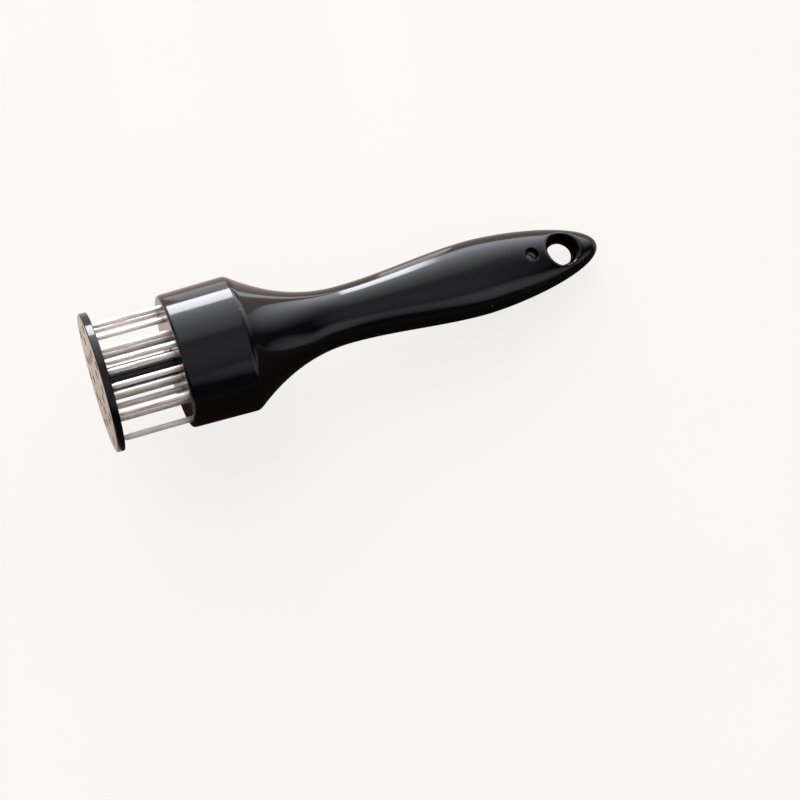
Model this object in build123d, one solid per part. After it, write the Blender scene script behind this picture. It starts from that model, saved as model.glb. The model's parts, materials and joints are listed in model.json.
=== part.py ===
from build123d import *
from math import atan2, cos, degrees, radians, sin, sqrt
import os

# Push-type meat tenderizer: a handle with a cup-shaped head full of needles, and a sprung guard disc
# over them. It is built about its own axis: X runs from the press face of the guard to the tail, Z is
# the side of the tail screw, Y is across. At the end it is laid down on the rear edge of its head and
# on its tail.

# Guard: disc and post
disc_radius = 26.4
disc_thickness = 3.0
disc_edge_round = 0.5
guard_hole_radius = 1.4
guard_hole_mouth_radius = 1.9
guard_hole_mouth_depth = 0.5
post_radius = 4.5
post_root_round = 1.0
travel = 26.0  # how far the guard can be pushed in
travel_reserve = 0.35  # gap left between guard and head at the end of the travel

# Needles
needle_radius = 1.1
needle_point_length = 3.8
needle_point_radius = 0.3
needle_tip_inset = 1.2  # tips stay this far behind the press face at rest
needle_cap_radius = 1.5
needle_cap_height = 1.0
needle_fit = 0.03
needle_lead_in_depth = 0.3  # countersink round each needle in the front of the head
needle_cap_clearance = 0.1
needles_per_ring = 7
outer_ring_inset = 4.4  # from the edge of the disc to the middle of the needles
middle_ring_inset = 10.2
inner_ring_inset = 16.2

# Head: the cup that carries the needles
head_length = 26.05
head_inset = 1.0  # front of the head against the edge of the disc
head_draft = 0.5  # the head is this much wider at its rear
head_wall = 1.7  # at the front, where it is thinnest
head_edge_round = 1.4
head_face_thickness = 4.0
guide_boss_radius = 7.2
guide_boss_length = 8.0
post_clearance = 0.3
seam_break = 0.25  # small chamfer on both sides of the seam at the shoulder

# Plate behind the needle caps, and its screws
backing_thickness = 3.0
backing_clearance = 0.3
plate_screw_turns = (0, 2, 5)  # which of the seven gaps of the middle ring hold a screw
plate_screw_radius = 1.3
plate_screw_cap_radius = 2.4
plate_screw_cap_height = 1.6
plate_screw_bite = 2.4
screw_fit = 0.02
screw_tip_gap = 0.6  # pilot holes are this much deeper than their screws

# Stop on the end of the post
washer_radius = 6.8
washer_thickness = 1.2
washer_bore_clearance = 0.2
stop_gap = 0.1
stop_screw_radius = 1.5
stop_screw_cap_radius = 2.9
stop_screw_cap_height = 2.0
stop_screw_length = 10.0

# Return spring
spring_wire_radius = 0.55
spring_mean_radius = 5.4
spring_coils = 10
spring_reserve = 2.0  # length left between the coils when the guard is pushed right in

# Handle
handle_wall = 2.4
neck_x = 96.0
neck_half = 11.12
grip_x = 150.0
grip_half_width = 14.9
grip_half_thickness = 11.7
tail_x = 199.5
flare_power = 2.1  # how fast the flare behind the head narrows
tail_power = 1.62  # how full the tail stays before it rounds off
tail_tip_half = 0.35
spigot_length = 7.0
spigot_wall = 2.8
spigot_root = 1.5  # how far the spigot runs on into the web behind the shoulder
spigot_clearance = 0.1
shoulder_web = 3.0
bead_height = 0.4
bead_width = 1.2
bead_from_shoulder = 3.5
bead_clearance = 0.1
rib_thickness = 1.8
first_rib_x = 106.0
rib_pitch = 22.0
rib_count = 3
peg_radius = 1.5
peg_length = 3.5
peg_clearance = 0.1
peg_boss_radius = 3.2
spring_spigot_length = 3.0
spring_spigot_clearance = 0.4

# Tail screw and hang hole
tail_screw_inset = 28.85  # from the end of the tail
tail_screw_radius = 1.3
tail_screw_cap_radius = 2.2
tail_screw_cap_height = 1.8
tail_screw_length = 11.0
tail_screw_depth = 2.2  # how far the cap lies below the surface
tail_screw_slot_width = 0.7
tail_screw_slot_depth = 0.8
tail_screw_slot_turn = 38.0
screw_recess_radius = 2.7
screw_hole_clearance = 0.15
screw_land_radius = 3.6
hang_hole_inset = 15.5  # from the end of the tail
hang_hole_throat_radius = 5.0
hang_hole_throat_half = 1.9  # half length of the straight throat in the middle
hang_hole_flare_z = 4.4  # where the flare from the throat has come to its full width
hang_hole_radius = 6.4  # at the mouths
hang_hole_round = 1.2

# Places along the axis that follow from the sizes above
outer_ring_radius = disc_radius - outer_ring_inset
middle_ring_radius = disc_radius - middle_ring_inset
inner_ring_radius = disc_radius - inner_ring_inset
head_front_radius = disc_radius - head_inset
head_rear_radius = head_front_radius + head_draft
head_bore_radius = head_front_radius - head_wall
head_front_x = disc_thickness + travel + travel_reserve
head_face_rear_x = head_front_x + head_face_thickness
guide_boss_rear_x = head_face_rear_x + guide_boss_length
shoulder_x = head_front_x + head_length
post_end_x = guide_boss_rear_x + stop_gap
washer_rear_x = post_end_x + washer_thickness
spring_seat_x = washer_rear_x + travel + 2 * spring_wire_radius * spring_coils + spring_reserve
guide_radius = post_radius + post_clearance
spigot_radius = head_bore_radius - spigot_clearance
spigot_bore_radius = spigot_radius - spigot_wall
tail_screw_x = tail_x - tail_screw_inset
hang_hole_x = tail_x - hang_hole_inset
cavity_start_x = shoulder_x + shoulder_web
cavity_end_x = tail_screw_x - screw_land_radius
needle_pitch = 360 / needles_per_ring
half_pitch = needle_pitch / 2

axis_turn = Rot(0, 90, 0)
standing = (Align.CENTER, Align.CENTER, Align.MIN)
reach = 2 * tail_x  # longer than anything it has to cut through
station_gap = 0.3  # sections of the handle's form are no closer than this
flare_sections = 6
swell_sections = 6
tail_sections = 11
lie_step = 0.25  # how finely the tail is searched for the place that it lies on
find_margin = 0.03  # for telling the edges of a hole from their neighbours


def polar(radius, angle):
    """Y and Z of a place around the axis, with the angle counted from the screw side."""
    return radius * sin(radians(angle)), radius * cos(radians(angle))


def rod(start, end, radius, y=0.0, z=0.0):
    return Pos(start, y, z) * axis_turn * Cylinder(radius, end - start, align=standing)


def taper(start, end, start_radius, end_radius, y=0.0, z=0.0):
    return Pos(start, y, z) * axis_turn * Cone(start_radius, end_radius, end - start, align=standing)


def upright(x, low, high, radius):
    return Pos(x, 0, low) * Cylinder(radius, high - low, align=standing)


def turned(*points):
    """Solid of revolution about the axis, from points of (x, radius)."""
    return revolve(make_face(Polyline(*points, close=True)), axis=Axis.X)


def needle_places():
    inner = [(inner_ring_radius, turn * needle_pitch) for turn in range(needles_per_ring)]
    middle = [(middle_ring_radius, turn * needle_pitch + half_pitch) for turn in range(needles_per_ring)]
    outer = [(outer_ring_radius, turn * needle_pitch) for turn in range(needles_per_ring)]
    return [polar(radius, angle) for radius, angle in inner + middle + outer]


def plate_screw_centres():
    return [polar(middle_ring_radius, turn * needle_pitch) for turn in plate_screw_turns]


# Guard

def guard_disc():
    disc = rod(0, disc_thickness, disc_radius)
    disc = fillet(disc.edges().filter_by(GeomType.CIRCLE), disc_edge_round)
    post = rod(disc_thickness, post_end_x, post_radius)
    root = turned(
        (disc_thickness, 0),
        (disc_thickness, post_radius + post_root_round),
        (disc_thickness + post_root_round, post_radius),
        (disc_thickness + post_root_round, 0),
    )
    guard = disc + post + root
    for y, z in needle_places():
        guard -= rod(0, disc_thickness, guard_hole_radius, y, z)
        guard -= taper(0, guard_hole_mouth_depth, guard_hole_mouth_radius, guard_hole_radius, y, z)
    pilot_start = post_end_x - stop_screw_length - screw_tip_gap
    return guard - rod(pilot_start, post_end_x, stop_screw_radius + screw_fit)


def stop_washer():
    disc = rod(post_end_x, washer_rear_x, washer_radius)
    return disc - rod(post_end_x, washer_rear_x, stop_screw_radius + washer_bore_clearance)


def stop_screw():
    shank = rod(post_end_x - stop_screw_length, washer_rear_x, stop_screw_radius)
    cap = rod(washer_rear_x, washer_rear_x + stop_screw_cap_height, stop_screw_cap_radius)
    return shank + cap


# Needles and head

def needle(y, z):
    point_end_x = needle_tip_inset + needle_point_length
    cap_front_x = head_face_rear_x - needle_cap_height
    point = taper(needle_tip_inset, point_end_x, needle_point_radius, needle_radius, y, z)
    shank = rod(point_end_x, cap_front_x, needle_radius, y, z)
    cap = rod(cap_front_x, head_face_rear_x, needle_cap_radius, y, z)
    return point + shank + cap


def bead(extra):
    """Ring of the snap joint between head and handle; the groove for it is larger by extra."""
    middle_x = shoulder_x - bead_from_shoulder
    half = bead_width / 2 + extra
    base = spigot_radius - extra
    crest = spigot_radius + bead_height + extra
    return turned(
        (middle_x - half - bead_height, 0),
        (middle_x - half - bead_height, base),
        (middle_x - half, crest),
        (middle_x + half, crest),
        (middle_x + half + bead_height, base),
        (middle_x + half + bead_height, 0),
    )


def needle_head():
    cup = turned(
        (head_front_x, 0),
        (head_front_x, head_front_radius),
        (shoulder_x - seam_break, head_rear_radius),
        (shoulder_x, head_rear_radius - seam_break),
        (shoulder_x, 0),
    )
    front_edge = cup.edges().filter_by(GeomType.CIRCLE).group_by(Axis.X)[0]
    cup = fillet(front_edge, head_edge_round)
    cup -= rod(head_face_rear_x, shoulder_x, head_bore_radius)
    cup -= bead(bead_clearance)
    cup += rod(head_face_rear_x, guide_boss_rear_x, guide_boss_radius)
    cup -= rod(head_front_x, guide_boss_rear_x, guide_radius)
    root_room_x = head_front_x + post_root_round
    cup -= taper(head_front_x, root_room_x, guide_radius + post_root_round, guide_radius)
    lead_in_x = head_front_x + needle_lead_in_depth
    pocket_x = head_face_rear_x - needle_cap_height
    for y, z in needle_places():
        cup -= rod(head_front_x, head_face_rear_x, needle_radius + needle_fit, y, z)
        cup -= taper(head_front_x, lead_in_x, needle_radius + needle_lead_in_depth, needle_radius, y, z)
        cup -= rod(pocket_x, head_face_rear_x, needle_cap_radius + needle_cap_clearance, y, z)
    pilot_x = head_face_rear_x - plate_screw_bite - screw_tip_gap
    for y, z in plate_screw_centres():
        cup -= rod(pilot_x, head_face_rear_x, plate_screw_radius + screw_fit, y, z)
    return cup


def backing_plate():
    rear_x = head_face_rear_x + backing_thickness
    plate = rod(head_face_rear_x, rear_x, head_bore_radius - backing_clearance)
    plate -= rod(head_face_rear_x, rear_x, guide_boss_radius + backing_clearance)
    for y, z in plate_screw_centres():
        plate -= rod(head_face_rear_x, rear_x, plate_screw_radius + screw_hole_clearance, y, z)
    return plate


def plate_screws():
    seat_x = head_face_rear_x + backing_thickness
    screws = []
    for y, z in plate_screw_centres():
        shank = rod(head_face_rear_x - plate_screw_bite, seat_x, plate_screw_radius, y, z)
        cap = rod(seat_x, seat_x + plate_screw_cap_height, plate_screw_cap_radius, y, z)
        screws.append((shank + cap).solid())
    return Compound(children=screws)


def return_spring():
    length = spring_seat_x - washer_rear_x
    pitch = length / spring_coils
    path = Helix(pitch, length + 2 * pitch, spring_mean_radius)
    section = Plane(origin=path @ 0, z_dir=path % 0) * Circle(spring_wire_radius)
    coil = Pos(washer_rear_x - pitch, 0, 0) * axis_turn * sweep(section, path=path)
    return coil & rod(washer_rear_x, spring_seat_x, 2 * spring_mean_radius)


# Handle

def ease(share):
    return share * share * (3 - 2 * share)


def handle_half(x, grip_half):
    """Half size of the handle at x: flare, then swell of the grip, then rounded tail."""
    if x < neck_x:
        share = (neck_x - x) / (neck_x - shoulder_x)
        return neck_half + (head_rear_radius - neck_half) * share ** flare_power
    if x < grip_x:
        return neck_half + (grip_half - neck_half) * ease((x - neck_x) / (grip_x - neck_x))
    share = min(1, (x - grip_x) / (tail_x - grip_x))
    return tail_tip_half + (grip_half - tail_tip_half) * sqrt(1 - share ** tail_power)


def handle_stations():
    flare = [shoulder_x + (neck_x - shoulder_x) * k / flare_sections for k in range(flare_sections)]
    swell = [neck_x + (grip_x - neck_x) * k / swell_sections for k in range(swell_sections)]
    tail = [grip_x + (tail_x - grip_x) * sin(radians(90 * k / tail_sections)) for k in range(tail_sections)]
    return flare + swell + tail


def half_form(start_x, end_x, wall):
    """Upper half of the handle's oval form between two places, thinner all round by the wall."""
    inner_stations = [x for x in handle_stations() if start_x + station_gap < x < end_x - station_gap]
    sections = []
    for x in [start_x] + inner_stations + [end_x]:
        half_width = handle_half(x, grip_half_width) - wall
        half_thickness = min(half_width, handle_half(x, grip_half_thickness) - wall)
        arch = EllipticalCenterArc((0, 0), half_width, half_thickness, arc_size=180)
        section = make_face([arch, Line(arch @ 1, arch @ 0)])
        sections.append(Plane(origin=(x, 0, 0), x_dir=(0, 1, 0), z_dir=(1, 0, 0)) * section)
    return loft(sections)


def rib_places():
    return [first_rib_x + k * rib_pitch for k in range(rib_count)]


def half_cavity():
    cavity = half_form(cavity_start_x, cavity_end_x, handle_wall)
    seat_wall = Box(rib_thickness, reach, reach, align=(Align.MIN, Align.CENTER, Align.CENTER))
    cavity -= Pos(spring_seat_x, 0, 0) * seat_wall
    seat_spigot_radius = spring_mean_radius - spring_wire_radius - spring_spigot_clearance
    cavity -= rod(spring_seat_x - spring_spigot_length, spring_seat_x, seat_spigot_radius)
    for x in rib_places():
        cavity -= Pos(x, 0, 0) * Box(rib_thickness, reach, reach)
        cavity -= upright(x, 0, reach, peg_boss_radius)
    return cavity


def handle_half_shell():
    """What both halves of the handle share, as the upper one."""
    spigot_start_x = shoulder_x - spigot_length
    spigot = rod(spigot_start_x, shoulder_x + spigot_root, spigot_radius) + bead(0)
    shell = half_form(shoulder_x, tail_x, 0)
    shell += spigot & Box(reach, reach, reach, align=standing)
    shell -= rod(spigot_start_x, cavity_start_x, spigot_bore_radius)
    shell -= half_cavity()
    shell -= turned(
        (shoulder_x, head_rear_radius - seam_break),
        (shoulder_x, head_rear_radius + seam_break),
        (shoulder_x + seam_break, head_rear_radius + seam_break),
    )
    flare_height = hang_hole_flare_z - hang_hole_throat_half
    flare = Cone(hang_hole_throat_radius, hang_hole_radius, flare_height, align=standing)
    shell -= upright(hang_hole_x, 0, hang_hole_throat_half, hang_hole_throat_radius)
    shell -= Pos(hang_hole_x, 0, hang_hole_throat_half) * flare
    shell -= upright(hang_hole_x, hang_hole_flare_z, reach, hang_hole_radius)
    return fillet(shell.edges().filter_by(is_hole_mouth), hang_hole_round)


def is_hole_mouth(edge):
    """Does this edge of the upper half lie round the mouth of the hang hole?"""
    box = edge.bounding_box()
    across = max(hang_hole_x - box.min.X, box.max.X - hang_hole_x)
    return across < hang_hole_radius + find_margin and box.min.Z > hang_hole_flare_z + find_margin


def tail_screw_top():
    return handle_half(tail_screw_x, grip_half_thickness) - tail_screw_depth


def upper_handle():
    seat_z = tail_screw_top() - tail_screw_cap_height
    half = handle_half_shell()
    half -= upright(tail_screw_x, seat_z, reach, screw_recess_radius)
    half -= upright(tail_screw_x, 0, seat_z, tail_screw_radius + screw_hole_clearance)
    for x in rib_places():
        half -= upright(x, 0, peg_length + peg_clearance, peg_radius + peg_clearance)
    return half


def lower_handle():
    tip_z = tail_screw_top() - tail_screw_cap_height - tail_screw_length
    half = mirror(handle_half_shell(), about=Plane.XY)
    half -= upright(tail_screw_x, tip_z - screw_tip_gap, 0, tail_screw_radius + screw_fit)
    for x in rib_places():
        half += upright(x, -peg_length, peg_length, peg_radius)
    return half


def tail_screw():
    top_z = tail_screw_top()
    seat_z = top_z - tail_screw_cap_height
    screw = upright(tail_screw_x, seat_z - tail_screw_length, seat_z, tail_screw_radius)
    cap = upright(tail_screw_x, seat_z, top_z, tail_screw_cap_radius)
    slot = Box(2 * tail_screw_cap_radius, tail_screw_slot_width, 2 * tail_screw_slot_depth)
    return screw + cap - Pos(tail_screw_x, 0, top_z) * Rot(0, 0, tail_screw_slot_turn) * slot


def lie_angle():
    """Slope of the line that touches the rear edge of the head and the underside of the tail."""
    steps = int((tail_x - grip_x) / lie_step)
    places = [grip_x + k * lie_step for k in range(steps)]
    return min(
        degrees(atan2(head_rear_radius - handle_half(x, grip_half_thickness), x - shoulder_x)) for x in places
    )


def build_pieces():
    pieces = {
        "guard_disc": guard_disc(),
        "stop_washer": stop_washer(),
        "stop_screw": stop_screw(),
        "needle_head": needle_head(),
        "backing_plate": backing_plate(),
        "plate_screws": plate_screws(),
        "return_spring": return_spring(),
        "upper_handle": upper_handle(),
        "lower_handle": lower_handle(),
        "tail_screw": tail_screw(),
    }
    for number, (y, z) in enumerate(needle_places(), 1):
        pieces[f"needle_{number:02d}"] = needle(y, z)
    return pieces


tilt = lie_angle()
laid = {name: Rot(0, tilt, 0) * piece for name, piece in build_pieces().items()}
box = Compound(children=[Compound(piece.solids()) for piece in laid.values()]).bounding_box()
drop = Pos(-box.center().X, -box.center().Y, -box.min.Z)
os.makedirs("parts", exist_ok=True)
for name, piece in laid.items():
    export_step(drop * piece, f"parts/{name}.step")
print("tilt", tilt, "origin of the tool axis", -box.center().X, -box.center().Y, -box.min.Z)
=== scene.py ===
# Needle meat tenderizer: glossy black handle and head, pointed steel needles, sprung guard disc
import json
from math import atan2, cos, pi, radians, sin, sqrt

import bmesh
import bpy
from mathutils import Matrix, Vector


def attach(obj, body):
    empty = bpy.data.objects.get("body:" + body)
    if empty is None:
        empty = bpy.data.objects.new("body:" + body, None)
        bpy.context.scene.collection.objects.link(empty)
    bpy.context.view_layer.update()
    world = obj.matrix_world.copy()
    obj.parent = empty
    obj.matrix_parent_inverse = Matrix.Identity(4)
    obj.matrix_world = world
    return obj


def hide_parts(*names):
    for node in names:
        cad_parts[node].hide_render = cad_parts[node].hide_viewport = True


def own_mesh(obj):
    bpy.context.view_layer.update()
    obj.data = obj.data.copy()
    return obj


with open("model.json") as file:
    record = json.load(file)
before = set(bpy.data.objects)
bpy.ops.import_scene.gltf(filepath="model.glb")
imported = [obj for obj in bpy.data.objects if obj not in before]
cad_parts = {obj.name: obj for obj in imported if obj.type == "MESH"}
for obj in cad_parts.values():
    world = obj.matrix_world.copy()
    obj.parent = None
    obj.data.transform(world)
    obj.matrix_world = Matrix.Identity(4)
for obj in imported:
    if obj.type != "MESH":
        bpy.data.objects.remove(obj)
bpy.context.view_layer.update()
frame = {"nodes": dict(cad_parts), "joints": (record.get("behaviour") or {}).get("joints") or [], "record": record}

mm = 0.001
weldGap = 0.0005  # mm
cutPast = 1.0  # mm, how far a cut starts before the face that it goes into
noiseSpan = (0.3, 0.7)  # most of a noise pattern lies between these

# the tool's own axes, in mm: x from the press face to the tail, z to the side with the tail screw
slide = next(joint for joint in frame["joints"] if joint["name"] == "guard_slide")
mounts = {mount["name"]: mount for mount in frame["record"]["mounts"]}
axisDirection = Vector(slide["axis"])
axisTilt = atan2(-axisDirection.z, axisDirection.x)
toolPlace = (Matrix.Translation(Vector(mounts["press_face"]["pos_m"]))
             @ Matrix.Rotation(axisTilt, 4, "Y") @ Matrix.Scale(mm, 4))


# lowest and highest corner of a CAD node in the tool's own axes, in mm
def toolBox(node):
    back = toolPlace.inverted()
    corners = [back @ vertex.co for vertex in frame["nodes"][node].data.vertices]
    low = Vector([min(corner[i] for corner in corners) for i in range(3)])
    high = Vector([max(corner[i] for corner in corners) for i in range(3)])
    return low, high


print("frame read")


# the linear values of an sRGB colour written as #rrggbb
def linear(hexColour):
    shares = [int(hexColour[i:i + 2], 16) / 255 for i in (1, 3, 5)]
    return [c / 12.92 if c <= 0.04045 else ((c + 0.055) / 1.055) ** 2.4 for c in shares] + [1.0]


# adds one node: settings are its own properties, inputs are values or (node, output) links
def addNode(tree, kind, settings=None, inputs=None):
    node = tree.nodes.new(kind)
    for name, value in (settings or {}).items():
        setattr(node, name, value)
    for name, value in (inputs or {}).items():
        if isinstance(value, tuple) and isinstance(value[0], bpy.types.Node):
            tree.links.new(value[0].outputs[value[1]], node.inputs[name])
        else:
            node.inputs[name].default_value = value
    return node


def newMaterial(name):
    material = bpy.data.materials.new(name)
    material.use_nodes = True
    tree = material.node_tree
    surface = next(node for node in tree.nodes if node.type == "BSDF_PRINCIPLED")
    return material, tree, surface


# places of the surface in the tool's directions, so that marks can run along its axis
def alongTool(tree, stretch=(1.0, 1.0, 1.0)):
    place = addNode(tree, "ShaderNodeTexCoord")
    turned = addNode(tree, "ShaderNodeMapping", None, {"Vector": (place, "Object"), "Rotation": (0, -axisTilt, 0)})
    return addNode(tree, "ShaderNodeMapping", None, {"Vector": (turned, "Vector"), "Scale": stretch})


# a place along the tool, in mm from the press face, as alongTool gives it
def alongPlace(x):
    return axisDirection.dot(Vector(mounts["press_face"]["pos_m"])) + x * mm


# a noise pattern whose grain is about so many millimetres
def grain(size):
    return 1.0 / (size * mm)


# ABS moulded in a polished tool: deep black with sharp reflections, hairline scuffs (real ones are finer, these
# are as wide as they need to be to show), a faint orange peel and a little dust
def mouldedAbs(name, look):
    material, tree, surface = newMaterial(name)
    place = alongTool(tree)
    cloud = addNode(tree, "ShaderNodeTexNoise", None,
                    {"Vector": (place, 0), "Scale": grain(look["cloudSize"]), "Detail": 3.0, "Roughness": 0.5})
    # two sets of hairline scratches that cross, seen only where a patch of the cloud lets them
    scratchMasks = []
    for turn, size in look["scratches"]:
        slanted = addNode(tree, "ShaderNodeMapping", None,
                          {"Vector": (place, 0), "Rotation": (*look["scratchTilt"], radians(turn)),
                           "Scale": (look["scratchStretch"], 1.0, 1.0)})
        streak = addNode(tree, "ShaderNodeTexNoise", None,
                         {"Vector": (slanted, 0), "Scale": grain(size), "Detail": 2.0})
        thin = addNode(tree, "ShaderNodeMapRange", {"interpolation_type": "SMOOTHSTEP"},
                       {"Value": (streak, "Fac"), "From Min": look["scratchSpan"][0],
                        "From Max": look["scratchSpan"][1]})
        scratchMasks.append(thin)
    crossed = addNode(tree, "ShaderNodeMath", {"operation": "MAXIMUM"},
                      {0: (scratchMasks[0], 0), 1: (scratchMasks[1], 0)})
    patch = addNode(tree, "ShaderNodeMapRange", {"interpolation_type": "SMOOTHSTEP"},
                    {"Value": (cloud, "Fac"), "From Min": look["patchSpan"][0], "From Max": look["patchSpan"][1]})
    scratched = addNode(tree, "ShaderNodeMath", {"operation": "MULTIPLY"}, {0: (crossed, 0), 1: (patch, 0)})
    # specks of dust, each in its own cell
    cells = addNode(tree, "ShaderNodeTexVoronoi", None,
                    {"Vector": (place, 0), "Scale": grain(look["dustSpacing"])})
    near = addNode(tree, "ShaderNodeMapRange", None,
                   {"Value": (cells, "Distance"), "From Min": look["speckSpan"][0],
                    "From Max": look["speckSpan"][1]})
    pick = addNode(tree, "ShaderNodeSeparateColor", None, {0: (cells, "Color")})
    few = addNode(tree, "ShaderNodeMath", {"operation": "GREATER_THAN"}, {0: (pick, 0), 1: look["dustShare"]})
    dust = addNode(tree, "ShaderNodeMath", {"operation": "MULTIPLY"}, {0: (near, 0), 1: (few, 0)})
    # colour: two near blacks, dust on top
    body = addNode(tree, "ShaderNodeMix", {"data_type": "RGBA"},
                   {0: (cloud, "Fac"), 6: linear(look["dark"]), 7: linear(look["light"])})
    coloured = addNode(tree, "ShaderNodeMix", {"data_type": "RGBA"},
                       {0: (dust, 0), 6: (body, 2), 7: linear(look["dust"])})
    tree.links.new(coloured.outputs[2], surface.inputs["Base Color"])
    # roughness: polish that varies, scratches and dust are duller
    polish = addNode(tree, "ShaderNodeMapRange", None,
                     {"Value": (cloud, "Fac"), "From Min": noiseSpan[0], "From Max": noiseSpan[1],
                      "To Min": look["roughness"][0], "To Max": look["roughness"][1]})
    dull = addNode(tree, "ShaderNodeMath", {"operation": "MULTIPLY_ADD", "use_clamp": True},
                   {0: (scratched, 0), 1: look["scratchDull"], 2: (polish, 0)})
    duller = addNode(tree, "ShaderNodeMath", {"operation": "MULTIPLY_ADD", "use_clamp": True},
                     {0: (dust, 0), 1: look["dustDull"], 2: (dull, 0)})
    tree.links.new(duller.outputs[0], surface.inputs["Roughness"])
    # bump: slow flow of the moulding, orange peel, scratches cut in
    flow = addNode(tree, "ShaderNodeTexNoise", None,
                   {"Vector": (place, 0), "Scale": grain(look["flowSize"]), "Detail": 1.0})
    peel = addNode(tree, "ShaderNodeTexNoise", None,
                   {"Vector": (place, 0), "Scale": grain(look["peelSize"]), "Detail": 2.0})
    waved = addNode(tree, "ShaderNodeBump", None, {"Height": (flow, "Fac"), "Distance": look["flowHeight"] * mm})
    peeled = addNode(tree, "ShaderNodeBump", None,
                     {"Height": (peel, "Fac"), "Distance": look["peelHeight"] * mm, "Normal": (waved, 0)})
    cutIn = addNode(tree, "ShaderNodeBump", {"invert": True},
                    {"Height": (scratched, 0), "Distance": look["scratchDepth"] * mm, "Normal": (peeled, 0)})
    tree.links.new(cutIn.outputs[0], surface.inputs["Normal"])
    surface.inputs["IOR"].default_value = look["ior"]
    surface.inputs["Specular IOR Level"].default_value = look["specular"]
    return material


# in each look the sizes, widths, spacings, heights and depths are in mm
glossLook = {"dark": "#040406", "light": "#08080b", "roughness": (0.07, 0.12), "specular": 0.34, "ior": 1.53,
             "cloudSize": 14.0, "flowSize": 20.0, "flowHeight": 0.09, "peelSize": 1.4, "peelHeight": 0.0008,
             "scratches": ((32.0, 0.35), (-41.0, 0.3)),  # turn in degrees, width in mm
             "scratchTilt": (0.2, 0.1), "scratchStretch": 0.03, "scratchSpan": (0.66, 0.72),
             "patchSpan": (0.52, 0.62), "scratchDull": 0.14, "scratchDepth": 0.0015,
             "dust": "#9a958e", "dustSpacing": 5.0, "dustShare": 0.87, "speckSpan": (0.048, 0.03), "dustDull": 0.5}
# the inner parts come out of a plain tool: the same black, softer and with more dust
satinLook = dict(glossLook, roughness=(0.22, 0.32), light="#0d0c0f", cloudSize=6.0, dustShare=0.8,
                 dustSpacing=3.0)
glossAbs = mouldedAbs("polishedBlackAbs", glossLook)
satinAbs = mouldedAbs("satinBlackAbs", satinLook)


# drawn stainless wire, ground: bright and soft, with marks along the needle (real ones are finer, these are as wide
# as they need to be to show), which on the needles are partly a painted reflection, and painted shade darkening it
# near the head
def drawnStainless(name, look):
    material, tree, surface = newMaterial(name)
    lengthwise = alongTool(tree, (look["drawStretch"], 1.0, 1.0))
    draw = addNode(tree, "ShaderNodeTexNoise", None,
                   {"Vector": (lengthwise, 0), "Scale": grain(look["drawWidth"]), "Detail": 3.0, "Roughness": 0.6})
    even = alongTool(tree)
    cloud = addNode(tree, "ShaderNodeTexNoise", None,
                    {"Vector": (even, 0), "Scale": grain(look["cloudSize"]), "Detail": 4.0})
    tone = addNode(tree, "ShaderNodeMix", {"data_type": "RGBA"},
                   {0: (draw, "Fac"), 6: linear(look["dark"]), 7: linear(look["light"])})
    stainMask = addNode(tree, "ShaderNodeMapRange", {"interpolation_type": "SMOOTHSTEP"},
                        {"Value": (cloud, "Fac"), "From Min": look["stainSpan"][0],
                         "From Max": look["stainSpan"][1], "To Max": look["stainMost"]})
    stained = addNode(tree, "ShaderNodeMix", {"data_type": "RGBA"},
                      {0: (stainMask, 0), 6: (tone, 2), 7: linear(look["stain"])})
    # dark hairlines of the drawing die, on the needles also a painted reflection of darker surroundings; painted
    # shade darkens the wire towards where it goes into the head
    hair = addNode(tree, "ShaderNodeTexNoise", None,
                   {"Vector": (lengthwise, 0), "Scale": grain(look["hairWidth"]), "Detail": 1.0})
    hairlineAndReflectionMask = addNode(tree, "ShaderNodeMapRange", {"interpolation_type": "SMOOTHSTEP"},
                       {"Value": (hair, "Fac"), "From Min": look["hairSpan"][0],
                        "From Max": look["hairSpan"][1], "To Max": look["hairMost"]})
    along = addNode(tree, "ShaderNodeSeparateXYZ", None, {0: (even, 0)})
    # painted shade: darker towards the head, where the needles go into it
    paintedShadeNearHead = addNode(tree, "ShaderNodeMapRange", {"interpolation_type": "SMOOTHSTEP"},
                       {"Value": (along, 0), "From Min": alongPlace(look["headShadeFrom"]),
                        "From Max": alongPlace(look["headShadeTo"]), "To Max": look["headShadeMost"]})
    shade = addNode(tree, "ShaderNodeMath", {"operation": "ADD", "use_clamp": True},
                    {0: (hairlineAndReflectionMask, 0), 1: (paintedShadeNearHead, 0)})
    lined = addNode(tree, "ShaderNodeMix", {"data_type": "RGBA"},
                    {0: (shade, 0), 6: (stained, 2), 7: linear(look["hair"])})
    tree.links.new(lined.outputs[2], surface.inputs["Base Color"])
    rough = addNode(tree, "ShaderNodeMapRange", None,
                    {"Value": (draw, "Fac"), "From Min": noiseSpan[0], "From Max": noiseSpan[1],
                     "To Min": look["roughness"][0], "To Max": look["roughness"][1]})
    tree.links.new(rough.outputs[0], surface.inputs["Roughness"])
    bump = addNode(tree, "ShaderNodeBump", None, {"Height": (draw, "Fac"), "Distance": look["drawDepth"] * mm})
    tree.links.new(bump.outputs[0], surface.inputs["Normal"])
    surface.inputs["Metallic"].default_value = look["metal"]
    return material


# on the needles the dark hairlines are partly a painted reflection, and the darkening from 25.5 to 31.5 mm is
# painted shade near the head
needleLook = {"metal": 0.76, "dark": "#f8efe6", "light": "#fffcf7", "roughness": (0.56, 0.7),
              "stain": "#e0ccb8", "stainMost": 0.3, "stainSpan": (0.5, 0.72), "cloudSize": 4.0,
              "drawWidth": 0.26, "drawStretch": 0.025, "drawDepth": 0.003,
              "hair": "#5e4132", "hairWidth": 0.4, "hairMost": 0.6, "hairSpan": (0.6, 0.68),
              "headShadeFrom": 25.5, "headShadeTo": 31.5, "headShadeMost": 0.42}  # mm from the press face
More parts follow.
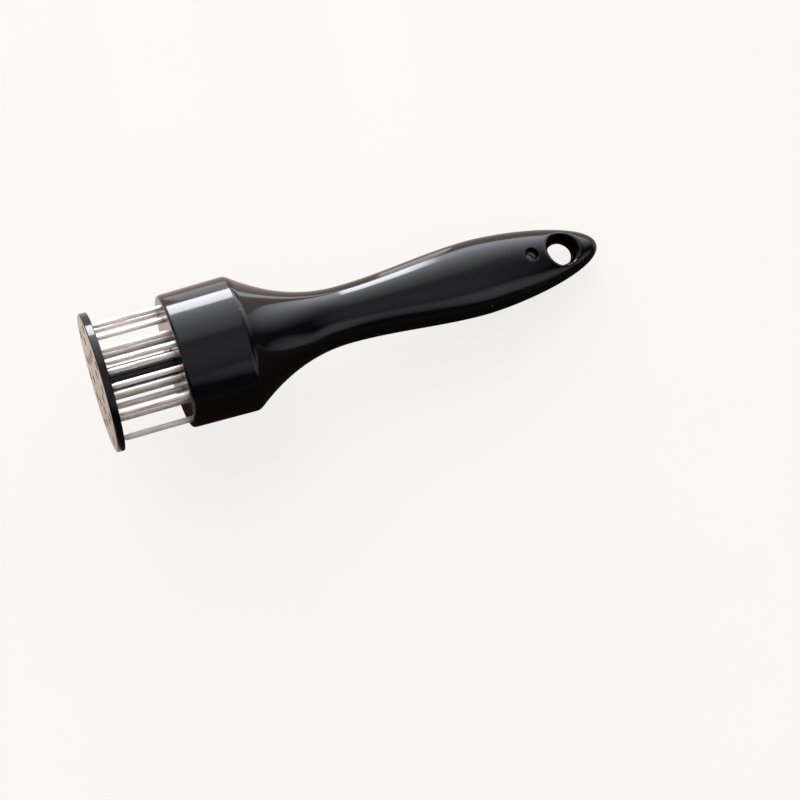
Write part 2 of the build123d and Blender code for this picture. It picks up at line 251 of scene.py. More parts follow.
# blackened steel: nearly black and half matt, rubbed a little brighter in spots
screwLook = {"metal": 1.0, "dark": "#3a393b", "light": "#7d7b7c", "roughness": (0.42, 0.55),
             "stain": "#262525", "stainMost": 0.5, "stainSpan": (0.5, 0.72), "cloudSize": 1.2,
             "drawWidth": 0.5, "drawStretch": 1.0, "drawDepth": 0.008,
             "hair": "#2a2726", "hairWidth": 0.4, "hairMost": 0.3, "hairSpan": (0.6, 0.68),
             "headShadeFrom": 0.0, "headShadeTo": 1.0, "headShadeMost": 0.0}
# zinc plating: pale grey with a yellowish stain; spring wire: drawn, greyer and untreated
platedLook = dict(screwLook, dark="#a9a9a6", light="#d8d8d4", stain="#8c8878", stainMost=0.4)
springLook = dict(needleLook, metal=1.0, dark="#9a9a98", light="#cfcfcd", stain="#6f6a63", drawStretch=1.0)
needleSteel = drawnStainless("drawnStainless", needleLook)
blackSteel = drawnStainless("blackenedSteel", screwLook)
platedSteel = drawnStainless("zincPlatedSteel", platedLook)
springSteel = drawnStainless("springWireSteel", springLook)
print("materials made")


# an outline of (x, radius, roundness): each corner with a roundness becomes a small curve
def softened(outline, steps=5):
    points = []
    for i, (x, radius, roundness) in enumerate(outline):
        corner = Vector((x, radius))
        if roundness == 0:
            points.append(corner)
            continue
        before, after = Vector(outline[i - 1][:2]), Vector(outline[i + 1][:2])
        start = corner + (before - corner).normalized() * roundness
        end = corner + (after - corner).normalized() * roundness
        for k in range(steps + 1):
            t = k / steps
            points.append(start * (1 - t) ** 2 + corner * 2 * t * (1 - t) + end * t ** 2)
    return points


# turns an outline round the axis; the result is closed where the outline ends on the axis or on itself
def turnedForm(outline, segments, closed=False):
    form = bmesh.new()
    points = [form.verts.new((point.x, 0.0, point.y)) for point in softened(outline)]
    pairs = list(zip(points, points[1:] + points[:1])) if closed else list(zip(points, points[1:]))
    edges = [form.edges.new(pair) for pair in pairs]
    bmesh.ops.spin(form, geom=points + edges, cent=(0, 0, 0), axis=(1, 0, 0), dvec=(0, 0, 0),
                   angle=2 * pi, steps=segments, use_merge=True)
    bmesh.ops.remove_doubles(form, verts=form.verts, dist=weldGap)
    bmesh.ops.recalc_face_normals(form, faces=form.faces)
    return form


def movedForm(form, matrix):
    bmesh.ops.transform(form, matrix=matrix, verts=form.verts)
    return form


def joinedForms(forms):
    whole = bmesh.new()
    for form in forms:
        part = bpy.data.meshes.new("part")
        form.to_mesh(part)
        form.free()
        whole.from_mesh(part)
        bpy.data.meshes.remove(part)
    return whole


def looseObject(form, name):
    mesh = bpy.data.meshes.new(name)
    form.to_mesh(mesh)
    form.free()
    holder = bpy.data.objects.new(name, mesh)
    bpy.context.scene.collection.objects.link(holder)
    return holder


def cutForm(form, cutter):
    body, tool = looseObject(form, "cutBody"), looseObject(cutter, "cutTool")
    cut = body.modifiers.new("cut", "BOOLEAN")
    cut.operation = "DIFFERENCE"
    cut.solver = "EXACT"
    cut.object = tool
    bpy.context.view_layer.update()
    mesh = bpy.data.meshes.new_from_object(body.evaluated_get(bpy.context.evaluated_depsgraph_get()))
    result = bmesh.new()
    result.from_mesh(mesh)
    for leftover in (body, tool):
        bpy.data.meshes.remove(leftover.data)
    bpy.data.meshes.remove(mesh)
    return result


# turns a form into a finished piece in its place in the frame
def finishPiece(form, name, body, material, nodes, sharpAngle=32.0):
    bmesh.ops.transform(form, matrix=toolPlace, verts=form.verts)
    mesh = bpy.data.meshes.new(name)
    form.to_mesh(mesh)
    form.free()
    mesh.materials.append(material)
    mesh.shade_smooth()
    mesh.set_sharp_from_angle(angle=radians(sharpAngle))
    piece = bpy.data.objects.new(name, mesh)
    bpy.context.scene.collection.objects.link(piece)
    weighted = piece.modifiers.new("flatFaces", "WEIGHTED_NORMAL")
    weighted.keep_sharp = True
    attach(piece, body)
    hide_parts(*nodes)
    return piece


# the needles and where each stands across the tool's axis, as (y, z) in mm
needleNodes = sorted(name for name in frame["nodes"] if name.startswith("needle_") and name != "needle_head")
needleSpots = []
for node in needleNodes:
    low, high = toolBox(node)
    needleSpots.append(((low + high) / 2).yz)

# a needle, in mm: tapered point, straight shank and the cap in its pocket of the head
needleForm = {"radius": 1.1, "pointLength": 3.8, "tipRadius": 0.3, "tipRound": 0.15, "pointRound": 0.5,
              "capRadius": 1.5, "capHeight": 1.0, "segments": 36}


def needleShape(low, high, spot):
    form = turnedForm([
        (low.x, 0.0, 0),
        (low.x, needleForm["tipRadius"], needleForm["tipRound"]),
        (low.x + needleForm["pointLength"], needleForm["radius"], needleForm["pointRound"]),
        (high.x - needleForm["capHeight"], needleForm["radius"], 0),
        (high.x - needleForm["capHeight"], needleForm["capRadius"], 0),
        (high.x, needleForm["capRadius"], 0),
        (high.x, 0.0, 0)], needleForm["segments"])
    return movedForm(form, Matrix.Translation((0, spot.x, spot.y)))


for node, spot in zip(needleNodes, needleSpots):
    low, high = toolBox(node)
    finishPiece(needleShape(low, high, spot), node.replace("needle_", "steelNeedle"), "handle",
                needleSteel, [node])
print("needles made")

# guard, in mm: disc, post and the holes for the needles; the pilot hole takes the stop screw
guardForm = {"thickness": 3.0, "edgeRound": 0.5, "postRadius": 4.5, "rootRound": 1.0, "rootEnds": 0.4,
             "postEndRound": 0.3, "holeRadius": 1.4, "mouthRadius": 1.9, "mouthDepth": 0.5, "mouthRound": 0.2,
             "rearMouth": 0.15, "pilotRadius": 1.52, "pilotLength": 10.6, "segments": 144, "holeSegments": 32}


def guardShape():
    low, high = toolBox("guard_disc")
    radius, rear, post = high.y, guardForm["thickness"], guardForm["postRadius"]
    rootEnds, pilotEnd = guardForm["rootEnds"], high.x - guardForm["pilotLength"]
    disc = turnedForm([
        (0, 0, 0), (0, radius, guardForm["edgeRound"]), (rear, radius, guardForm["edgeRound"]),
        (rear, post + guardForm["rootRound"], rootEnds), (rear + guardForm["rootRound"], post, rootEnds),
        (high.x, post, guardForm["postEndRound"]), (high.x, guardForm["pilotRadius"], 0),
        (pilotEnd, guardForm["pilotRadius"], 0), (pilotEnd, 0, 0)], guardForm["segments"])
    hole, mouth, lip = guardForm["holeRadius"], guardForm["mouthRadius"], guardForm["rearMouth"]
    holes = []
    for spot in needleSpots:
        cutter = turnedForm([
            (-cutPast, 0, 0), (-cutPast, mouth, 0), (0, mouth, 0),
            (guardForm["mouthDepth"], hole, guardForm["mouthRound"]), (rear - lip, hole, 0),
            (rear, hole + lip, 0), (rear + cutPast, hole + lip, 0), (rear + cutPast, 0, 0)],
            guardForm["holeSegments"])
        holes.append(movedForm(cutter, Matrix.Translation((0, spot.x, spot.y))))
    return cutForm(disc, joinedForms(holes))


finishPiece(guardShape(), "guardDisc", "guard", glossAbs, ["guard_disc"])
print("guard made")

# handle, in mm: its outline, which the head shares at the shoulder, and the hollows inside
handleForm = {"shoulderRadius": 25.9, "shoulderRound": 1.3, "neckX": 96.0, "neckHalf": 11.12, "gripX": 150.0,
              "gripWidth": 14.9, "gripThickness": 11.7, "tailX": 199.5, "flarePower": 2.1, "tailPower": 1.62,
              "tipHalf": 0.35, "spigotLength": 7.0, "spigotRadius": 23.6, "spigotBore": 20.8, "seamBreak": 0.05,
              "web": 3.0, "wall": 2.4, "partingBreak": 0.15, "ribs": (106.0, 128.0, 150.0), "ribHalf": 0.9,
              "springSeat": 81.65, "cavityEnd": 167.05, "ringSegments": 128, "tailRings": 100,
              "innerSpacing": 2.0, "innerSegments": 48}
shoulderX = toolBox("needle_head")[1].x


def ease(share):
    return share * share * (3 - 2 * share)


# half size of the handle at x: flare, then swell of the grip, then rounded tail
def handleHalf(x, gripHalf):
    neckX, neckHalf, gripX = handleForm["neckX"], handleForm["neckHalf"], handleForm["gripX"]
    if x < neckX:
        share = (neckX - x) / (neckX - shoulderX)
        flare = max(0, share) ** handleForm["flarePower"]
        return neckHalf + (handleForm["shoulderRadius"] - neckHalf) * flare
    if x < gripX:
        return neckHalf + (gripHalf - neckHalf) * ease((x - neckX) / (gripX - neckX))
    share = min(1, (x - gripX) / (handleForm["tailX"] - gripX))
    tip = handleForm["tipHalf"]
    return tip + (gripHalf - tip) * sqrt(1 - share ** handleForm["tailPower"])


# the rounded ridge from the straight head into the flare, as (x, radius); the seam is at its middle
def ridgePoints(steps=8):
    reach = handleForm["shoulderRound"]
    radius = handleForm["shoulderRadius"]
    ends = [Vector((shoulderX - reach, radius)), Vector((shoulderX, radius)),
            Vector((shoulderX + reach, handleHalf(shoulderX + reach, handleForm["gripWidth"])))]
    shares = [k / steps for k in range(steps + 1)]
    points = [ends[0] * (1 - t) ** 2 + ends[1] * 2 * t * (1 - t) + ends[2] * t ** 2 for t in shares]
    return points[:steps // 2 + 1], points[steps // 2:]


# head, in mm: the cup that carries the needles and guides the post
headForm = {"frontRadius": 25.4, "edgeRound": 1.4, "boreRadius": 23.7, "faceThickness": 4.0,
            "bossRadius": 7.2, "bossLength": 8.0, "bossRound": 0.3, "guideRadius": 4.8, "guideMouth": 1.0,
            "guideRound": 0.2, "leadIn": 0.3, "needleFit": 0.03, "pocketRadius": 1.6, "pocketDepth": 1.0,
            "pocketPast": 0.5, "segments": 192, "holeSegments": 28}


def headShape():
    low, high = toolBox("needle_head")
    front, rear = low.x, high.x
    face = front + headForm["faceThickness"]
    guide, mouth, bore = headForm["guideRadius"], headForm["guideMouth"], headForm["boreRadius"]
    seam = handleForm["seamBreak"]
    ridge = [(point.x, point.y, 0) for point in ridgePoints()[0][:-1]]
    seamRadius = ridgePoints()[0][-1].y
    boss, bossEnd = headForm["bossRadius"], face + headForm["bossLength"]
    cup = turnedForm([
        (front + mouth, guide, headForm["guideRound"]), (front, guide + mouth, headForm["guideRound"]),
        (front, headForm["frontRadius"], headForm["edgeRound"]), *ridge,
        (rear - seam, seamRadius, 0), (rear, seamRadius - 2 * seam, 0), (rear, bore, 0), (face, bore, 0),
        (face, boss, 0), (bossEnd, boss, headForm["bossRound"]), (bossEnd, guide, 0)],
        headForm["segments"], closed=True)
    shank, lead = needleForm["radius"] + headForm["needleFit"], headForm["leadIn"]
    pocket, pocketEnd = face - headForm["pocketDepth"], face + headForm["pocketPast"]
    pocketRadius = headForm["pocketRadius"]
    holes = []
    for spot in needleSpots:
        cutter = turnedForm([
            (front - cutPast, 0, 0), (front - cutPast, shank + lead, 0), (front, shank + lead, 0),
            (front + lead, shank, 0), (pocket, shank, 0), (pocket, pocketRadius, 0),
            (pocketEnd, pocketRadius, 0), (pocketEnd, 0, 0)], headForm["holeSegments"])
        holes.append(movedForm(cutter, Matrix.Translation((0, spot.x, spot.y))))
    return cutForm(cup, joinedForms(holes))


finishPiece(headShape(), "needleHead", "handle", glossAbs, ["needle_head"])
print("head made")

# openings in the half shells, in mm
hangHole = {"x": 184.0, "radius": 6.4, "round": 2.0, "margin": 0.8,
            "wall": ((4.4, 6.4, 0.7), (1.9, 5.0, 0.5), (0.0, 5.0, 0.0))}  # wall: height, radius, roundness
screwRecess = {"x": 170.65, "radius": 2.7, "round": 0.3, "margin": 0.7, "capDrop": 2.2, "capHeight": 1.8}
mouthForm = {"roundSteps": 7, "slopeStep": 0.05, "facingUp": 0.1, "edgeReach": 1.0, "edgeHeight": 1.0,
             "wallFrom": 100.0}  # anywhere above the skin


# rings of the handle as (x, half width, half thickness), from one place to another
def handleRings(start, end, wall=0.0, spacing=1.0):
    tailX, gripX, tailRings = handleForm["tailX"], handleForm["gripX"], handleForm["tailRings"]
    straight = [start]
    if start < gripX:
        length = min(end, gripX) - start
        count = round(length / spacing)
        straight = [start + length * k / count for k in range(count + 1)]
    # closer together towards the tip, where the outline turns in
    curved = [gripX + (tailX - gripX) * (1 - (1 - k / tailRings) ** 2) for k in range(tailRings + 1)]
    places = straight + [x for x in curved if straight[-1] < x < end]
    if end > places[-1]:
        places.append(end)
    rings = []
    for x in places:
        width = handleHalf(x, handleForm["gripWidth"]) - wall
        rings.append((x, width, min(width, handleHalf(x, handleForm["gripThickness"]) - wall)))
    return rings


# closed tube of oval rings, each one extruded from the last
def ringForm(rings, segments):
    form = bmesh.new()
    bmesh.ops.create_circle(form, cap_ends=False, segments=segments, radius=1.0)
    x, width, thickness = rings[0]
    bmesh.ops.rotate(form, cent=(0, 0, 0), matrix=Matrix.Rotation(pi / 2, 3, "Y"), verts=form.verts)
    bmesh.ops.scale(form, vec=(1, width, thickness), verts=form.verts)
    bmesh.ops.translate(form, vec=(x, 0, 0), verts=form.verts)
    firstEdges = edges = form.edges[:]
    for nextX, nextWidth, nextThickness in rings[1:]:
        grown = bmesh.ops.extrude_edge_only(form, edges=edges)["geom"]
        verts = [item for item in grown if isinstance(item, bmesh.types.BMVert)]
        edges = [item for item in grown if isinstance(item, bmesh.types.BMEdge)]
        bmesh.ops.scale(form, vec=(1, nextWidth / width, nextThickness / thickness), verts=verts)
        bmesh.ops.translate(form, vec=(nextX - x, 0, 0), verts=verts)
        x, width, thickness = nextX, nextWidth, nextThickness
    bmesh.ops.contextual_create(form, geom=firstEdges)
    bmesh.ops.contextual_create(form, geom=edges)
    bmesh.ops.recalc_face_normals(form, faces=form.faces)
    return form


# height of the handle's skin above the parting plane
def skinHeight(x, y):
    width = handleHalf(x, handleForm["gripWidth"])
    thickness = min(width, handleHalf(x, handleForm["gripThickness"]))
    return thickness * sqrt(max(0, 1 - (y / width) ** 2))


# opens a round hole with a rounded mouth in the upper skin; its wall goes down through (height, radius,
# roundness) corners, and ends open unless it has a floor
def openMouth(form, hole, wall, floor):
    centre = Vector((hole["x"], 0))
    mouth = hole["radius"] + hole["round"]
    lidReach = mouth + hole["margin"]
    lid = [face for face in form.faces if face.normal.z > mouthForm["facingUp"]
           and (face.calc_center_median().xy - centre).length < lidReach]
    bmesh.ops.delete(form, geom=lid, context="FACES")
    edgeReach = mouth + 2 * hole["margin"] + mouthForm["edgeReach"]
    edges = [edge for edge in form.edges if edge.is_boundary and all(
        (vertex.co.xy - centre).length < edgeReach and vertex.co.z > mouthForm["edgeHeight"]
        for vertex in edge.verts)]
    # rings: over the skin to the mouth, round the edge, down the wall
    steps, beyond = mouthForm["roundSteps"], mouthForm["slopeStep"]
    fromAbove = (hole["round"] + mouthForm["wallFrom"], hole["radius"], 0)
    rings = [("skin", 0.5), ("skin", 1.0)] + [("round", k / steps) for k in range(1, steps + 1)]
    rings += [("wall", point) for point in softened([fromAbove] + wall)[1:]]
    for kind, share in rings:
        grown = bmesh.ops.extrude_edge_only(form, edges=edges)["geom"]
        verts = [item for item in grown if isinstance(item, bmesh.types.BMVert)]
        edges = [item for item in grown if isinstance(item, bmesh.types.BMEdge)]
        for vertex in verts:
            out = vertex.co.xy - centre
            distance, out = out.length, out.normalized()
            if kind == "skin":
                spot = centre + out * (distance + (mouth - distance) * share)
                vertex.co = (spot.x, spot.y, skinHeight(spot.x, spot.y))
            elif kind == "wall":
                spot = centre + out * share.y
                vertex.co = (spot.x, spot.y, share.x)
            else:
                # a curve from the skin at the mouth, with the skin's own slope, to the upright wall
                edge, past = centre + out * mouth, centre + out * (mouth + beyond)
                edgeZ = skinHeight(edge.x, edge.y)
                cornerZ = edgeZ - (skinHeight(past.x, past.y) - edgeZ) / beyond * hole["round"]
                lowZ = cornerZ - hole["round"]
                left = 1 - share
                spot = centre + out * (mouth * left ** 2 + hole["radius"] * (1 - left ** 2))
                vertex.co = (spot.x, spot.y, edgeZ * left ** 2 + cornerZ * 2 * share * left + lowZ * share ** 2)
    if floor:
        bmesh.ops.contextual_create(form, geom=edges)


def screwTop():
    return skinHeight(screwRecess["x"], 0) - screwRecess["capDrop"]


# one half shell, as the upper one
def halfShell(withRecess):
    radius, seam, rim = handleForm["spigotRadius"], handleForm["seamBreak"], handleForm["partingBreak"]
    spigotStart = shoulderX - handleForm["spigotLength"]
    ridge = [(point.x, point.y) for point in ridgePoints()[1]]
    front = [(spigotStart, radius), (shoulderX, radius), (shoulderX, ridge[0][1] - 2 * seam),
             (shoulderX + seam, ridge[0][1])] + ridge[1:-1]
    outside = [(x, half, half) for x, half in front] + handleRings(ridge[-1][0], handleForm["tailX"])
    form = ringForm(outside, handleForm["ringSegments"])
    bmesh.ops.bisect_plane(form, geom=form.verts[:] + form.edges[:] + form.faces[:], dist=weldGap,
                           plane_co=(0, 0, rim), plane_no=(0, 0, 1), clear_inner=True)
    openMouth(form, hangHole, list(hangHole["wall"]), False)
    if withRecess:
        openMouth(form, screwRecess, [(screwTop() - screwRecess["capHeight"], screwRecess["radius"], 0)], True)
    # the rim turns in a little where the two halves meet
    edges = [edge for edge in form.edges if edge.is_boundary
             and all(abs(vertex.co.z - rim) < weldGap for vertex in edge.verts)]
    grown = bmesh.ops.extrude_edge_only(form, edges=edges)["geom"]
    for vertex in [item for item in grown if isinstance(item, bmesh.types.BMVert)]:
        side = 1 if vertex.co.y > 0 else -1
        vertex.co.y -= side * min(rim, abs(vertex.co.y) / 2)
        vertex.co.x = min(vertex.co.x, handleForm["tailX"] - rim)
        vertex.co.z = 0
    openEdges = [edge for edge in form.edges if edge.is_boundary]
    bmesh.ops.triangle_fill(form, use_beauty=True, use_dissolve=False, edges=openEdges, normal=(0, 0, -1))
    bmesh.ops.recalc_face_normals(form, faces=form.faces)
    # hollows between the walls inside
    wall, bore, cavity = handleForm["wall"], handleForm["spigotBore"], shoulderX + handleForm["web"]
    springSeat, ribHalf, spacing = handleForm["springSeat"], handleForm["ribHalf"], handleForm["innerSpacing"]
    front = [(spigotStart - cutPast, bore, bore), (cavity, bore, bore)]
    bays = [front + handleRings(cavity, springSeat, wall, spacing)]
    bayStarts = [springSeat + 2 * ribHalf] + [x + ribHalf for x in handleForm["ribs"]]
    bayEnds = [x - ribHalf for x in handleForm["ribs"]] + [handleForm["cavityEnd"]]
    for bayStart, bayEnd in zip(bayStarts, bayEnds):
        bays.append(handleRings(bayStart, bayEnd, wall, spacing))
    return cutForm(form, joinedForms([ringForm(bay, handleForm["innerSegments"]) for bay in bays]))


finishPiece(halfShell(True), "handleUpperHalf", "handle", glossAbs, ["upper_handle"])
lowerForm = halfShell(False)
bmesh.ops.scale(lowerForm, vec=(1, 1, -1), verts=lowerForm.verts)
bmesh.ops.recalc_face_normals(lowerForm, faces=lowerForm.faces)
finishPiece(lowerForm, "handleLowerHalf", "handle", glossAbs, ["lower_handle"])
print("handle made")

# slotted screw in the tail, in mm
tailScrewForm = {"radius": 1.3, "capRadius": 2.2, "length": 11.0, "pointLength": 1.2, "pointRound": 0.3,
                 "tipRadius": 0.3, "dome": 0.5, "domeSteps": 6, "edgeRound": 0.1, "slotWidth": 0.7,
                 "slotDepth": 0.8, "slotTurn": 38.0, "segments": 64}


def tailScrewShape():
    top = screwTop()
    seat = top - screwRecess["capHeight"]
    tip = seat - tailScrewForm["length"]
    radius, cap, dome = tailScrewForm["radius"], tailScrewForm["capRadius"], tailScrewForm["dome"]
    edgeRound, domeSteps = tailScrewForm["edgeRound"], tailScrewForm["domeSteps"]
    domeTurns = [pi / 2 * (1 - k / domeSteps) for k in range(1, domeSteps + 1)]
    form = turnedForm([
        (tip, 0, 0), (tip, tailScrewForm["tipRadius"], edgeRound),
        (tip + tailScrewForm["pointLength"], radius, tailScrewForm["pointRound"]), (seat, radius, 0),
        (seat, cap, edgeRound), (top - dome, cap, edgeRound)]
        + [(top - dome * (1 - cos(turn)), cap * sin(turn), 0) for turn in domeTurns], tailScrewForm["segments"])
    slot = bmesh.new()
    bmesh.ops.create_cube(slot, size=1.0)
    bmesh.ops.scale(slot, vec=(2 * tailScrewForm["slotDepth"], tailScrewForm["slotWidth"], 4 * cap),
                    verts=slot.verts)
    bmesh.ops.rotate(slot, cent=(0, 0, 0), verts=slot.verts,
                     matrix=Matrix.Rotation(radians(90 + tailScrewForm["slotTurn"]), 3, "X"))
    bmesh.ops.translate(slot, vec=(top, 0, 0), verts=slot.verts)
    form = cutForm(form, slot)
    return movedForm(form, Matrix.Translation((screwRecess["x"], 0, 0)) @ Matrix.Rotation(-pi / 2, 4, "Y"))


finishPiece(tailScrewShape(), "tailScrew", "handle", blackSteel, ["tail_screw"])
print("tail screw made")

# return spring, in mm: closed end coils, open ones between
springForm = {"wireRadius": 0.55, "meanRadius": 5.4, "openCoils": 8, "stepsPerTurn": 40, "wireSegments": 12,
              "pressedShare": 13 / 39}  # length pressed together over length at rest


def springShape():
    low, high = toolBox("return_spring")
    wire, steps = springForm["wireRadius"], springForm["stepsPerTurn"]
    closedPitch = 2 * wire
    # the length less two end coils and the wire itself
    openPitch = (high.x - low.x - 3 * closedPitch) / springForm["openCoils"]
    form = bmesh.new()
    bmesh.ops.create_circle(form, cap_ends=False, segments=springForm["wireSegments"], radius=wire)
    bmesh.ops.rotate(form, cent=(0, 0, 0), matrix=Matrix.Rotation(pi / 2, 3, "X"), verts=form.verts)
    bmesh.ops.translate(form, vec=(low.x + wire, 0, springForm["meanRadius"]), verts=form.verts)
    firstEdges = form.edges[:]
    wireEnd = form.verts[:] + form.edges[:]
    for coils, pitch in ((1, closedPitch), (springForm["openCoils"], openPitch), (1, closedPitch)):
        wireEnd = bmesh.ops.spin(form, geom=wireEnd, cent=(0, 0, 0), axis=(1, 0, 0), dvec=(pitch / steps, 0, 0),
                                 angle=2 * pi * coils, steps=coils * steps, use_merge=False)["geom_last"]
    lastEdges = [item for item in wireEnd if isinstance(item, bmesh.types.BMEdge)]
    bmesh.ops.contextual_create(form, geom=firstEdges)
    bmesh.ops.contextual_create(form, geom=lastEdges)
    bmesh.ops.recalc_face_normals(form, faces=form.faces)
    return form


returnSpring = finishPiece(springShape(), "returnSpring", "handle", springSteel,
                           ["return_spring"])
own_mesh(returnSpring)
print("return spring made")

# plain inner parts keep their CAD shape
for node, material in (("backing_plate", satinAbs), ("plate_screws", platedSteel),
                       ("stop_washer", platedSteel), ("stop_screw", platedSteel)):
    for slot in frame["nodes"][node].material_slots:
        slot.material = material

# floor: its half width in metres, the grain of its fibre in mm
stageForm = {"floorHalf": 3.0, "paper": ("#e4cbb6", "#e8d2bf"), "fibre": 30.0, "roughness": 0.9,
             "specular": 0.2, "whiteSeen": 0.82, "whiteReflected": 0.15}


# plain pale paper, matt and warm: it tints the undersides and what reflects it; a share of it is simply white to
# the camera, and a little in reflections, so that its shadows stay light
def floorMaterial():
    material, tree, surface = newMaterial("palePaper")
    place = addNode(tree, "ShaderNodeTexCoord")
    fibre = addNode(tree, "ShaderNodeTexNoise", None,
                    {"Vector": (place, "Object"), "Scale": grain(stageForm["fibre"]), "Detail": 2.0})
    tone = addNode(tree, "ShaderNodeMix", {"data_type": "RGBA"},
                   {0: (fibre, "Fac"), 6: linear(stageForm["paper"][0]), 7: linear(stageForm["paper"][1])})
    tree.links.new(tone.outputs[2], surface.inputs["Base Color"])
    surface.inputs["Roughness"].default_value = stageForm["roughness"]
    surface.inputs["Specular IOR Level"].default_value = stageForm["specular"]
    ray = addNode(tree, "ShaderNodeLightPath")
    seen = addNode(tree, "ShaderNodeMath", {"operation": "MULTIPLY"},
                   {0: (ray, "Is Camera Ray"), 1: stageForm["whiteSeen"]})
    bounced = addNode(tree, "ShaderNodeMath", {"operation": "MAXIMUM"},
                      {0: (ray, "Is Glossy Ray"), 1: (ray, "Is Transmission Ray")})
    reflected = addNode(tree, "ShaderNodeMath", {"operation": "MULTIPLY"},
                        {0: (bounced, 0), 1: stageForm["whiteReflected"]})
    share = addNode(tree, "ShaderNodeMath", {"operation": "MAXIMUM"}, {0: (seen, 0), 1: (reflected, 0)})
    white = addNode(tree, "ShaderNodeEmission", None, {"Color": linear("#ffffff"), "Strength": 1.0})
    output = next(node for node in tree.nodes if node.type == "OUTPUT_MATERIAL")
    mixed = addNode(tree, "ShaderNodeMixShader", None, {0: (share, 0), 1: (surface, 0), 2: (white, 0)})
    tree.links.new(mixed.outputs[0], output.inputs["Surface"])
    return material


floorForm = bmesh.new()
bmesh.ops.create_grid(floorForm, x_segments=1, y_segments=1, size=stageForm["floorHalf"])
floor = looseObject(floorForm, "floor")
floor.data.materials.append(floorMaterial())

# cards lying on the floor, seen only in reflections, paint reflections onto the tool. Dark ones are painted shade: a
# wide one on the tool's right keeps the lower side of the plastic black, a small one under the tail keeps the wall
# of the hang hole black. Bright ones on its left glow though they are no lamps: painted highlights that widen the
# band on the head and the bar on the grip. Middles and half sizes are in metres.
cardForm = {"sideCard": {"middle": (0.751, -1.453), "half": (0.849, 1.447), "turn": 0.0, "strength": 0.0},
            "holeCard": {"middle": (0.084, 0.0005), "half": (0.012, 0.0065), "turn": 0.0, "strength": 0.0},
            "bandCard": {"middle": (-0.0155, 0.3234), "half": (0.019, 0.225), "turn": -7.0, "strength": 2.2},
            "gripCard": {"middle": (0.1067, 0.4946), "half": (0.016, 0.45), "turn": -9.0, "strength": 3.1}}
cardHeight = 0.0004
# colour of the dark cards: painted shade, seen only in reflections
paintedShadeColour = "#3a261e"


def floorCard(name, look):
    form = bmesh.new()
    bmesh.ops.create_grid(form, x_segments=1, y_segments=1, size=1.0)
    bmesh.ops.scale(form, vec=(*look["half"], 1), verts=form.verts)
    bmesh.ops.rotate(form, cent=(0, 0, 0), verts=form.verts, matrix=Matrix.Rotation(radians(look["turn"]), 3, "Z"))
    bmesh.ops.translate(form, vec=(*look["middle"], cardHeight), verts=form.verts)
    card = looseObject(form, name)
    # the bright cards glow evenly though they are no lamps, a painted highlight; the dark ones are a near black matt
    # sheet, painted shade in reflections
    bright = look["strength"] > 0
    material, tree, surface = newMaterial("paintedHighlightGlow" if bright else "paintedShadeSheet")
    surface.inputs["Base Color"].default_value = linear("#000000" if bright else paintedShadeColour)
    surface.inputs["Roughness"].default_value = 1.0
    surface.inputs["Emission Color"].default_value = linear("#ffffff")
    surface.inputs["Emission Strength"].default_value = look["strength"]
    card.data.materials.append(material)
    card.visible_camera = card.visible_diffuse = card.visible_transmission = card.visible_shadow = False


for name, look in cardForm.items():
    floorCard(name, look)

# a studio lit by soft glows: a broad one low on the tail's left, and paler ones above it and on its right. Each
# ends where the cosine of the angle to its middle is edge; fall is how soon it fades; flatten above 1 makes it wide.
glows = (
    {"azimuth": 69.0, "elevation": 8.0, "flatten": 2.6, "edge": 0.39, "fall": 1.55, "brightness": 5.7},
    {"azimuth": 91.0, "elevation": 56.0, "flatten": 0.52, "edge": 0.75, "fall": 0.82, "brightness": 1.25},
    {"azimuth": -62.0, "elevation": 27.0, "flatten": 0.9, "edge": 0.948, "fall": 0.8, "brightness": 1.2},
    {"azimuth": -38.0, "elevation": 7.0, "flatten": 1.6, "edge": 0.9, "fall": 0.95, "brightness": 0.95},
    {"azimuth": -90.0, "elevation": 75.0, "flatten": 1.0, "edge": 0.68, "fall": 0.8, "brightness": 0.64})
roomForm = {"around": 0.05, "cool": "#eef2ff", "pale": "#f3f3fa"}
world = bpy.data.worlds.new("studio")
bpy.context.scene.world = world
world.use_nodes = True
sky = world.node_tree
backdrop = next(node for node in sky.nodes if node.type == "BACKGROUND")
direction = addNode(sky, "ShaderNodeTexCoord")


# how much of one glow a direction sees, from 0 to 1: an oval patch of the sky with soft edges
def glowShare(look):
    azimuth, elevation = radians(look["azimuth"]), radians(look["elevation"])
    centre = Vector((cos(elevation) * cos(azimuth), cos(elevation) * sin(azimuth),
                     sin(elevation) * look["flatten"]))
    flattened = addNode(sky, "ShaderNodeVectorMath", {"operation": "MULTIPLY"},
                        {0: (direction, "Generated"), 1: (1.0, 1.0, look["flatten"])})
    unit = addNode(sky, "ShaderNodeVectorMath", {"operation": "NORMALIZE"}, {0: (flattened, 0)})
    toward = addNode(sky, "ShaderNodeVectorMath", {"operation": "DOT_PRODUCT"},
                     {0: (unit, 0), 1: tuple(centre.normalized())})
    within = addNode(sky, "ShaderNodeMapRange", None,
                     {"Value": (toward, "Value"), "From Min": look["edge"], "From Max": 1.0})
    return addNode(sky, "ShaderNodeMath", {"operation": "POWER"}, {0: (within, 0), 1: look["fall"]})


glowShares = [glowShare(look) for look in glows]
strength = addNode(sky, "ShaderNodeMath", {"operation": "MULTIPLY_ADD"},
                   {0: (glowShares[0], 0), 1: glows[0]["brightness"], 2: roomForm["around"]})
for share, look in zip(glowShares[1:], glows[1:]):
    strength = addNode(sky, "ShaderNodeMath", {"operation": "MULTIPLY_ADD"},
                       {0: (share, 0), 1: look["brightness"], 2: (strength, 0)})
tint = addNode(sky, "ShaderNodeMix", {"data_type": "RGBA"},
               {0: (glowShares[0], 0), 6: linear(roomForm["pale"]), 7: linear(roomForm["cool"])})
sky.links.new(tint.outputs[2], backdrop.inputs["Color"])
sky.links.new(strength.outputs[0], backdrop.inputs["Strength"])
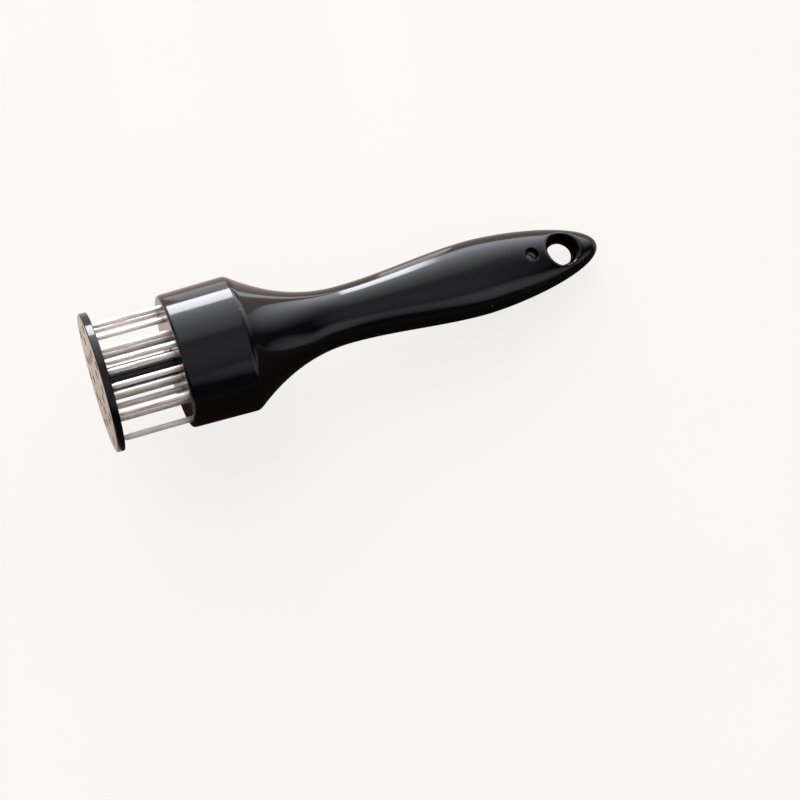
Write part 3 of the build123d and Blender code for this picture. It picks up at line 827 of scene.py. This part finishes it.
# behind the floor the camera sees plain white
seenWhite = addNode(sky, "ShaderNodeBackground", None, {"Color": linear("#ffffff"), "Strength": 1.0})
cameraRay = addNode(sky, "ShaderNodeLightPath")
seenSky = addNode(sky, "ShaderNodeMixShader", None,
                  {0: (cameraRay, "Is Camera Ray"), 1: (backdrop, 0), 2: (seenWhite, 0)})
skyOutput = next(node for node in sky.nodes if node.type == "OUTPUT_WORLD")
sky.links.new(seenSky.outputs[0], skyOutput.inputs["Surface"])


# soft boxes: where each hangs and aims, its width and height in metres, how bright its face is, and how many
# degrees it leans. The strip makes the band on the head and the bar on the grip, the fill lights the front.
lampForm = {"stripLamp": {"place": (0.052, 1.5, 0.365), "aim": (0.052, 0.0, 0.365), "size": (0.65, 0.62),
                          "brightness": 12.0, "colour": "#fbf9ff", "lean": 10.8},
            "warmFill": {"place": (-0.9, 0.1, 0.3), "aim": (-0.1, 0.0, 0.02), "size": (0.6, 0.45),
                         "brightness": 2.4, "colour": "#ffcfa8", "lean": 0.0}}
wattsPerArea = 4  # watts per square metre for a face of brightness 1


def softBox(name, look):
    lamp = bpy.data.lights.new(name, "AREA")
    lamp.shape = "RECTANGLE"
    width, height = look["size"]
    lamp.size, lamp.size_y = width, height
    lamp.energy = look["brightness"] * width * height * wattsPerArea
    lamp.color = linear(look["colour"])[:3]
    holder = bpy.data.objects.new(name, lamp)
    holder.location = look["place"]
    facing = (Vector(look["aim"]) - Vector(look["place"])).to_track_quat("-Z", "Y")
    holder.rotation_euler = (facing.to_matrix() @ Matrix.Rotation(radians(look["lean"]), 3, "Z")).to_euler()
    holder.visible_camera = False
    bpy.context.scene.collection.objects.link(holder)


for name, look in lampForm.items():
    softBox(name, look)

# place in metres, turn in degrees, lens and sensor in mm
cameraForm = {"place": (-0.05367, -0.20939, 0.74460), "turn": (14.082, -0.259, -18.611), "lens": 90.0,
              "sensorWidth": 36.0}
cameraData = bpy.data.cameras.new("camera")
cameraData.lens = cameraForm["lens"]
cameraData.sensor_width = cameraForm["sensorWidth"]
camera = bpy.data.objects.new("camera", cameraData)
camera.location = cameraForm["place"]
camera.rotation_euler = [radians(angle) for angle in cameraForm["turn"]]
bpy.context.scene.collection.objects.link(camera)
bpy.context.scene.camera = camera
bpy.context.scene.view_settings.view_transform = "Standard"
print("stage, light and camera set")
